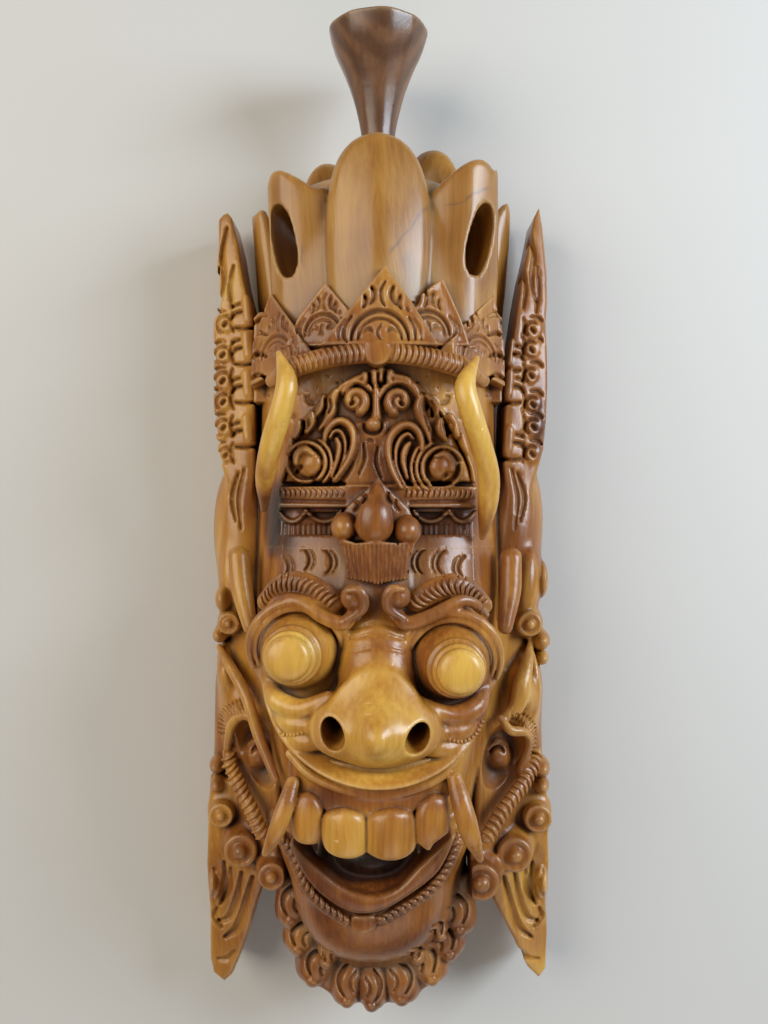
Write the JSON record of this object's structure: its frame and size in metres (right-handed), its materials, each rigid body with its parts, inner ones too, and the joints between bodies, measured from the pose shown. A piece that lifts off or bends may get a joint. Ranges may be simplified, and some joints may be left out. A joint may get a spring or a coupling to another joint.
{
  "type": "barong mask",
  "caption": "Carved wooden face mask with a tall petalled crown, bulging eyes, snout and open toothed mouth, hollow at the back, lying face up.",
  "frame": {"origin": "middle of the flat rim at the back that the mask lies on", "axes": "+X across the face, +Y from the beard to the crown's finial, +Z out of the face"},
  "size_m": [0.1724, 0.4796, 0.1318],
  "materials": {
    "carved_wood": "waxed and hand polished"
  },
  "bodies": {
    "root": {"carved_mask": "carved_wood"}
  },
  "joints": []
}
